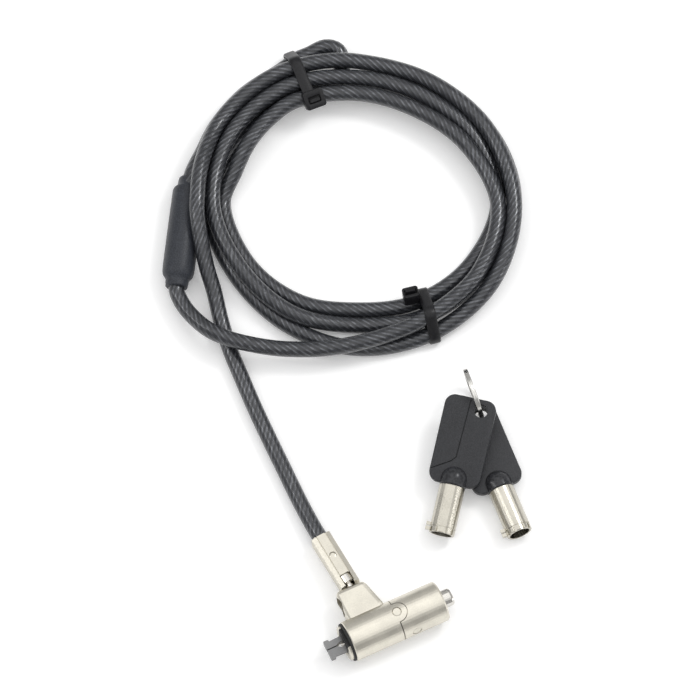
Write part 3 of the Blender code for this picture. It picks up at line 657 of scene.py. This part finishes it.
class CABLELOCK_OT_cable(bpy.types.Operator):
    """Make the jacketed steel cable: lead, bundle, tail and eye in one length"""

    bl_idname = "cablelock.cable"
    bl_label = "Cable"

    def execute(self, context):
        settings = settings_of(context)
        route = cable_route()
        jacket = jacket_finish("jacketed_cable", settings)
        cable, length = swept("cable", route, CABLE_R * MM, CABLE_SIDES, jacket)
        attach(cable, ROOT)
        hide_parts("cable_lead", "cable_coil", "cable_tail", "cable_eye")
        pieces = [self.sleeve(), *self.ties(settings, route)]
        tuple(here(*CABLE_EXIT))
        return {"FINISHED"}

    def sleeve(self):
        """The moulded sleeve over the crimp: narrow collars, a full body, a parting line."""
        start, end = (here(*p) for p in SLEEVE)
        along = (end - start).normalized()
        side = along.cross(Vector((0.0, 0.0, 1.0))).normalized()
        up = side.cross(along)
        length = (end - start).length / MM
        # Distance along, half width, half height.
        stations = [
            (0.0, 2.9, 2.9), (0.0, 3.5, 3.5), (0.3, 3.85, 3.85), (1.6, 4.0, 4.0), (2.9, 4.05, 4.1),
            (3.3, 4.4, 4.4), (4.3, 5.1, 5.0), (5.6, 5.4, 5.3), (7.5, 5.5, 5.4), (length * 0.5, 5.42, 5.4),
            (length - 8.0, 5.3, 5.4), (length - 4.6, 5.25, 5.4), (length - 3.9, 5.0, 5.3),
            (length - 3.3, 4.3, 5.1), (length - 2.9, 4.0, 4.95), (length - 1.2, 3.85, 4.9),
            (length - 0.3, 3.7, 4.8), (length, 3.4, 4.5), (length, 2.9, 4.1),
        ]
        bm = bmesh.new()
        rings = []
        sides = 40
        collar = 3.3
        parting_line = 0.12
        for at, wide, high in stations:
            ring = []
            for k in range(sides):
                turn = 2 * math.pi * k / sides
                on_seam = k % (sides // 2) == 0 and collar < at < length - collar
                ridge = parting_line if on_seam else 0.0
                spot = side * (wide + ridge) * math.cos(turn) + up * high * math.sin(turn)
                ring.append(bm.verts.new(start + (along * at + spot) * MM))
            rings.append(ring)
        loft(bm, rings)
        bmesh.ops.recalc_face_normals(bm, faces=bm.faces)
        colour = (0.020, 0.022, 0.027)
        plastic = plastic_finish("sleeve_moulding", colour, roughness=0.42, grain=0.03, scale=2600.0)
        item = piece("cable_eye_sleeve", bm, plastic, 40)
        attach(item, ROOT)
        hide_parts("eye_sleeve")
        paint(["crimp_barrel"], nickel_finish("crimp_nickel", (0.70, 0.68, 0.62), roughness=0.4, grain=0.01))
        return item

    def ties(self, settings, route):
        colour = tuple(settings.nylon)
        nylon = plastic_finish("tie_nylon_black", colour, roughness=0.36, grain=0.012, scale=1500.0)
        made = []
        for name, (inner, outer) in TIES.items():
            made += self.tie(name, inner, outer, route, nylon)
        return made

    def tie(self, name, inner, outer, route, nylon):
        """A band drawn tight round the strands that pass through it, and its square head."""
        origin = here(*inner, 0.0)
        along = (here(*outer, 0.0) - origin).normalized()
        across = Vector((0.0, 0.0, 1.0)).cross(along)
        local = Matrix((
            (along.x, across.x, 0.0, origin.x), (along.y, across.y, 0.0, origin.y), (0.0, 0.0, 1.0, 0.0),
            (0.0, 0.0, 0.0, 1.0)))
        back = local.inverted()
        span = (here(*outer, 0.0) - origin).length
        circles = []
        for a, b in zip(route, route[1:]):
            p, q = back @ a, back @ b
            if p.y * q.y <= 0 and p.y != q.y and -TIE_MARGIN < p.x < span + TIE_MARGIN:
                middle = p.lerp(q, p.y / (p.y - q.y))
                for k in range(24):
                    turn = 2 * math.pi * k / 24
                    reach = (CABLE_R + TIE_GAP) * MM
                    circles.append((middle.x + reach * math.cos(turn), middle.z + reach * math.sin(turn)))
        outline = evenly(hull(circles), TIE_STEPS)
        bm = bmesh.new()
        rings = []
        half = TIE_WIDTH / 2 * MM
        bevel = 0.35 * MM
        # Height over the cable in millimetres, and place across the band.
        section = [(0.0, -half), (0.7, -half), (1.0, -half + bevel), (1.05, 0.0), (1.0, half - bevel),
                   (0.7, half), (0.0, half)]
        for k, spot in enumerate(outline):
            ahead, behind = outline[(k + 1) % TIE_STEPS], outline[k - 1]
            run = (ahead - behind).normalized()
            out = Vector((run.y, -run.x))
            ring = []
            for lift, wide in section:
                flat = spot + out * lift * MM
                ring.append(bm.verts.new((flat.x, wide, max(flat.y, 0.02 * MM))))
            rings.append(ring)
        loft(bm, rings, closed=True)
        bmesh.ops.recalc_face_normals(bm, faces=bm.faces)
        band = piece(f"tie_{name}_band", bm, nylon, 40, local)
        edge = min(p.x for p in outline) / MM
        head = self.tie_head(name, edge, nylon, local)
        return [self.own(band, f"tie_band_{name}"), self.own(head, f"tie_head_{name}")]

    def tie_head(self, name, edge, nylon, local):
        """The head: a rounded box with the strap's slot and the cut end of the strap."""
        spot = TIE_HEADS[name]
        long, wide, high = (side / 2 for side in spot["size"])
        bm = bmesh.new()
        prism(bm, rounded_outline((-long, -wide), (long, wide), radius=0.9, steps=3), -high * MM, high * MM)
        bmesh.ops.recalc_face_normals(bm, faces=bm.faces)
        head = piece(f"tie_{name}_head", bm, nylon, 30)
        slot = bmesh.new()
        opening = rounded_outline((-1.3, -2.15), (1.1, 2.15), radius=0.3, steps=2)
        prism(slot, opening, (high - 1.3) * MM, (high + 1.0) * MM)
        boolean(head, slot, "DIFFERENCE")
        soften(head, width=0.35, segments=2)
        stub = bmesh.new()
        strap_end = rounded_outline((-0.8, -1.75), (0.3, 1.75), radius=0.3, steps=2)
        prism(stub, strap_end, (high - 2.0) * MM, (high + 0.5) * MM)
        boolean(head, stub, "UNION")
        x, y, z = spot["at"]
        lean = Matrix.Rotation(math.radians(spot["tilt"]), 4, "Y")
        head.data.transform(local @ Matrix.Translation(Vector((edge + x, y, z)) * MM) @ lean)
        shade(head.data, 30)
        return head

    def own(self, item, node):
        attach(item, ROOT)
        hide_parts(node)
        return item


# ------------------------------------------------------------------ lock head

class CABLELOCK_OT_lock_head(bpy.types.Operator):
    """Finish the lock head, its jaws, plunger and keyway, and the swivelling ferrule"""

    bl_idname = "cablelock.lock_head"
    bl_label = "Lock head"

    def execute(self, context):
        settings = settings_of(context)
        colour = tuple(settings.nickel)
        duller = tuple(c * 0.96 for c in colour)
        satin = nickel_finish("satin_nickel", colour, settings.polish, grain=0.03)
        cast = nickel_finish("cast_nickel", duller, settings.polish + 0.04, grain=0.03)
        bright = nickel_finish("bright_nickel", (0.70, 0.68, 0.64), roughness=0.14, grain=0.006)
        dark = nickel_finish("dark_steel", (0.25, 0.25, 0.25), roughness=0.42, grain=0.02)
        spring = nickel_finish("spring_wire", (0.45, 0.45, 0.46), roughness=0.3, grain=0.01)
        black = (0.016, 0.016, 0.016)
        # Black rubber for the bumper ring; also painted shade for the dark inside of the slot.
        black_rubber_and_shade = plastic_finish("bumper_rubber_and_slot_shade", black, roughness=0.62, grain=0.02, scale=3000.0)
        paint(["front_housing", "rear_housing"], satin)
        paint(["cable_ferrule", "crimp_pin", "front_plate", "lock_core", "core_retaining_pin"], cast)
        paint(["coupling_rivet_top", "coupling_rivet_bottom"], satin)
        paint(["plunger_post", "spreader_rod", "swivel_stud", "stud_nut"], bright)
        paint([f"core_pin_{k}" for k in range(1, 8)], bright)
        paint(["jaw_near_ear", "jaw_far"], dark)
        # Painted shade: the jaw block and rod guide take the black rubber so the inside of the slot reads
        # dark.
        paint(["jaw_block", "rod_guide"], black_rubber_and_shade)
        paint(["jaw_near_ear_pin", "jaw_far_pin", "return_spring"], spring)
        paint(["bumper_ring"], black_rubber_and_shade)
        return {"FINISHED"}


# ------------------------------------------------------------------ keys

# Each key in millimetres: along it from its tube's open end, and aside from its middle line.
KEY_TUBE_LENGTH = 17.2
KEY_LENGTH = 48.7
KEY_HALF = 9.0
KEY_THICK = 2.8
KEY_HOLE = (44.7, -3.9)
KEY_HOLE_R = 2.35
KEY_DOME_R = 4.75
GROOVE_HALF = 0.2
GROOVE_DEPTH = 0.6
# The engraved line's corners: along the key, and aside.
GROOVE = [(47.6, 0.3), (27.2, 0.9), (25.6, 2.2), (21.6, 8.6)]


class CABLELOCK_OT_keys(bpy.types.Operator):
    """Make the two tubular keys' grained heads and finish their tubes"""

    bl_idname = "cablelock.keys"
    bl_label = "Keys"

    def execute(self, context):
        settings = settings_of(context)
        colour = tuple(settings.plastic)
        plated = tuple(c * 0.78 for c in settings.nickel)
        plastic = plastic_finish("key_plastic_grain", colour, roughness=0.46, grain=0.05, scale=3400.0)
        gloss = plastic_finish("key_plastic_gloss", colour, roughness=0.2, grain=0.004, scale=1200.0)
        for number, spot in KEYS.items():
            head = self.head(number, spot, plastic)
            dome = self.dome(number, spot, gloss)
            for item in (head, dome):
                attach(item, f"key_{number}")
            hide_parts(f"key_head_{number}")
            tube = nickel_finish(f"key_{number}_nickel", plated, 0.27, grain=0.006, along=spot["turn"])
            paint([f"key_tube_{number}"], tube)
        return {"FINISHED"}

    def head(self, number, spot, plastic):
        bm = bmesh.new()
        low, high = (KEY_TUBE_LENGTH + 0.4, -KEY_HALF), (KEY_LENGTH, KEY_HALF)
        outline = rounded_outline(low, high, radius=3.6, steps=8)
        prism(bm, outline, -KEY_THICK / 2 * MM, KEY_THICK / 2 * MM)
        bmesh.ops.recalc_face_normals(bm, faces=bm.faces)
        head = piece(f"key_{number}_head", bm, plastic, 30)
        soften(head, width=0.45, segments=3)
        hole = bmesh.new()
        drill = [(-4.0, 0.0), (-4.0, KEY_HOLE_R), (4.0, KEY_HOLE_R), (4.0, 0.0)]
        turned(hole, drill, sides=40, matrix=self.upright(*KEY_HOLE))
        boolean(head, hole, "DIFFERENCE")
        for face in ((1, -1) if number == "1" else (-1,)):
            for start, end in zip(GROOVE, GROOVE[1:]):
                boolean(head, self.groove(face, Vector(start), Vector(end)), "DIFFERENCE")
        head.data.transform(place(spot))
        shade(head.data, 28)
        return head

    def upright(self, along, aside):
        lift = Matrix.Rotation(math.radians(-90), 4, "Y")
        return Matrix.Translation(Vector((along, aside, 0.0)) * MM) @ lift

    def groove(self, face, start, end):
        """One straight length of the fine line that frames one half of the head."""
        ahead = (end - start).normalized() * GROOVE_HALF
        aside = Vector((-ahead.y, ahead.x))
        corners = [start - ahead - aside, end + ahead - aside, end + ahead + aside, start - ahead + aside]
        low, high = sorted((face * (KEY_THICK / 2 - GROOVE_DEPTH), face * (KEY_THICK / 2 + 0.5)))
        bm = bmesh.new()
        prism(bm, [tuple(corner) for corner in corners], low * MM, high * MM)
        return bm

    def dome(self, number, spot, gloss):
        """The smooth round shoulder that the tube stands in."""
        profile = [(KEY_TUBE_LENGTH - 0.1, 0.0), (KEY_TUBE_LENGTH - 0.1, KEY_DOME_R - 0.3)]
        profile += [(KEY_TUBE_LENGTH + 0.25, KEY_DOME_R), (KEY_TUBE_LENGTH + 2.2, KEY_DOME_R)]
        for k in range(1, 10):
            turn = math.radians(10 * k)
            profile.append((KEY_TUBE_LENGTH + 2.2 + KEY_DOME_R * math.sin(turn), KEY_DOME_R * math.cos(turn)))
        profile.append((KEY_TUBE_LENGTH + 2.2 + KEY_DOME_R, 0.0))
        bm = bmesh.new()
        turned(bm, profile, sides=48)
        return piece(f"key_{number}_dome", bm, gloss, 40, place(spot))


class CABLELOCK_OT_key_ring(bpy.types.Operator):
    """Wind the split ring of flat wire that holds the keys"""

    bl_idname = "cablelock.key_ring"
    bl_label = "Split ring"

    def execute(self, context):
        settings = settings_of(context)
        steel = nickel_finish("ring_steel", (0.72, 0.71, 0.68), roughness=0.2, grain=0.01)
        ring = self.wind(settings, steel)
        ring.data.transform(place(RING) @ Matrix.Rotation(math.radians(90), 4, "Y"))
        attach(ring, "key_ring")
        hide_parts("split_ring")
        return {"FINISHED"}

    def wind(self, settings, steel):
        """Flat wire swept along a close spiral by a small node tree."""
        tree = bpy.data.node_groups.new("split_ring_winding", "GeometryNodeTree")
        tree.interface.new_socket("Geometry", in_out="OUTPUT", socket_type="NodeSocketGeometry")
        for label, value in (("Turns", settings.ring_turns), ("Radius", 8.5 * MM), ("Rise", 2.6 * MM),
                             ("Wire width", 1.0 * MM), ("Wire height", 1.15 * MM)):
            socket = tree.interface.new_socket(label, in_out="INPUT", socket_type="NodeSocketFloat")
            socket.default_value = value
        nodes, links = tree.nodes, tree.links
        given = nodes.new("NodeGroupInput")
        result = nodes.new("NodeGroupOutput")
        spiral = nodes.new("GeometryNodeCurveSpiral")
        spiral.inputs["Resolution"].default_value = 72
        wire = nodes.new("GeometryNodeCurvePrimitiveQuadrilateral")
        fillet = nodes.new("GeometryNodeFilletCurve")
        fillet.mode = "POLY"
        fillet.inputs["Count"].default_value = 3
        fillet.inputs["Radius"].default_value = 0.28 * MM
        sweep = nodes.new("GeometryNodeCurveToMesh")
        sweep.inputs["Fill Caps"].default_value = True
        upright = nodes.new("GeometryNodeSetCurveNormal")
        upright.mode = "Z_UP"
        smooth = nodes.new("GeometryNodeSetShadeSmooth")
        real = nodes.new("GeometryNodeRealizeInstances")
        coat = nodes.new("GeometryNodeSetMaterial")
        coat.inputs["Material"].default_value = steel
        half = nodes.new("ShaderNodeMath")
        half.operation = "MULTIPLY"
        half.inputs[1].default_value = 0.5
        links.new(given.outputs["Turns"], spiral.inputs["Rotations"])
        links.new(given.outputs["Radius"], spiral.inputs["Start Radius"])
        links.new(given.outputs["Radius"], spiral.inputs["End Radius"])
        links.new(given.outputs["Rise"], half.inputs[0])
        links.new(half.outputs[0], spiral.inputs["Height"])
        links.new(given.outputs["Wire width"], wire.inputs["Height"])
        links.new(given.outputs["Wire height"], wire.inputs["Width"])
        links.new(wire.outputs[0], fillet.inputs["Curve"])
        links.new(spiral.outputs[0], upright.inputs["Curve"])
        links.new(upright.outputs[0], sweep.inputs["Curve"])
        links.new(fillet.outputs[0], sweep.inputs["Profile Curve"])
        links.new(sweep.outputs[0], smooth.inputs["Geometry"])
        links.new(smooth.outputs[0], real.inputs["Geometry"])
        links.new(real.outputs[0], coat.inputs["Geometry"])
        links.new(coat.outputs[0], result.inputs[0])
        holder = bpy.data.objects.new("key_split_ring", bpy.data.meshes.new("key_split_ring"))
        bpy.context.scene.collection.objects.link(holder)
        change = holder.modifiers.new("winding", "NODES")
        change.node_group = tree
        apply_modifiers(holder)
        holder.data.set_sharp_from_angle(angle=math.radians(35))
        low = min(v.co.z for v in holder.data.vertices)
        high = max(v.co.z for v in holder.data.vertices)
        holder.data.transform(Matrix.Translation((0.0, 0.0, -(low + high) / 2)))
        return holder


# ------------------------------------------------------------------ panel and run

OPERATORS = [
    CABLELOCK_OT_stage, CABLELOCK_OT_cable, CABLELOCK_OT_lock_head, CABLELOCK_OT_keys, CABLELOCK_OT_key_ring,
]


class CABLELOCK_PT_panel(bpy.types.Panel):
    bl_idname = "CABLELOCK_PT_panel"
    bl_label = "Cable lock"
    bl_space_type = "VIEW_3D"
    bl_region_type = "UI"
    bl_category = "Cable lock"

    def draw(self, context):
        settings = settings_of(context)
        for label in ("nickel", "polish", "plastic", "nylon", "strands", "lay", "valley", "strand", "gleam",
                      "ring_turns", "floor", "light"):
            self.layout.prop(settings, label)
        for kind in OPERATORS:
            self.layout.operator(kind.bl_idname)


CLASSES = [CableLockSettings, *OPERATORS, CABLELOCK_PT_panel]


def register():
    for kind in CLASSES:
        bpy.utils.register_class(kind)
    bpy.types.Scene.cable_lock = bpy.props.PointerProperty(type=CableLockSettings)


def unregister():
    del bpy.types.Scene.cable_lock
    for kind in reversed(CLASSES):
        bpy.utils.unregister_class(kind)


def main():
    register()
    bpy.ops.cablelock.stage()
    bpy.ops.cablelock.cable()
    bpy.ops.cablelock.lock_head()
    bpy.ops.cablelock.keys()
    bpy.ops.cablelock.key_ring()


if __name__ == "__main__":
    main()
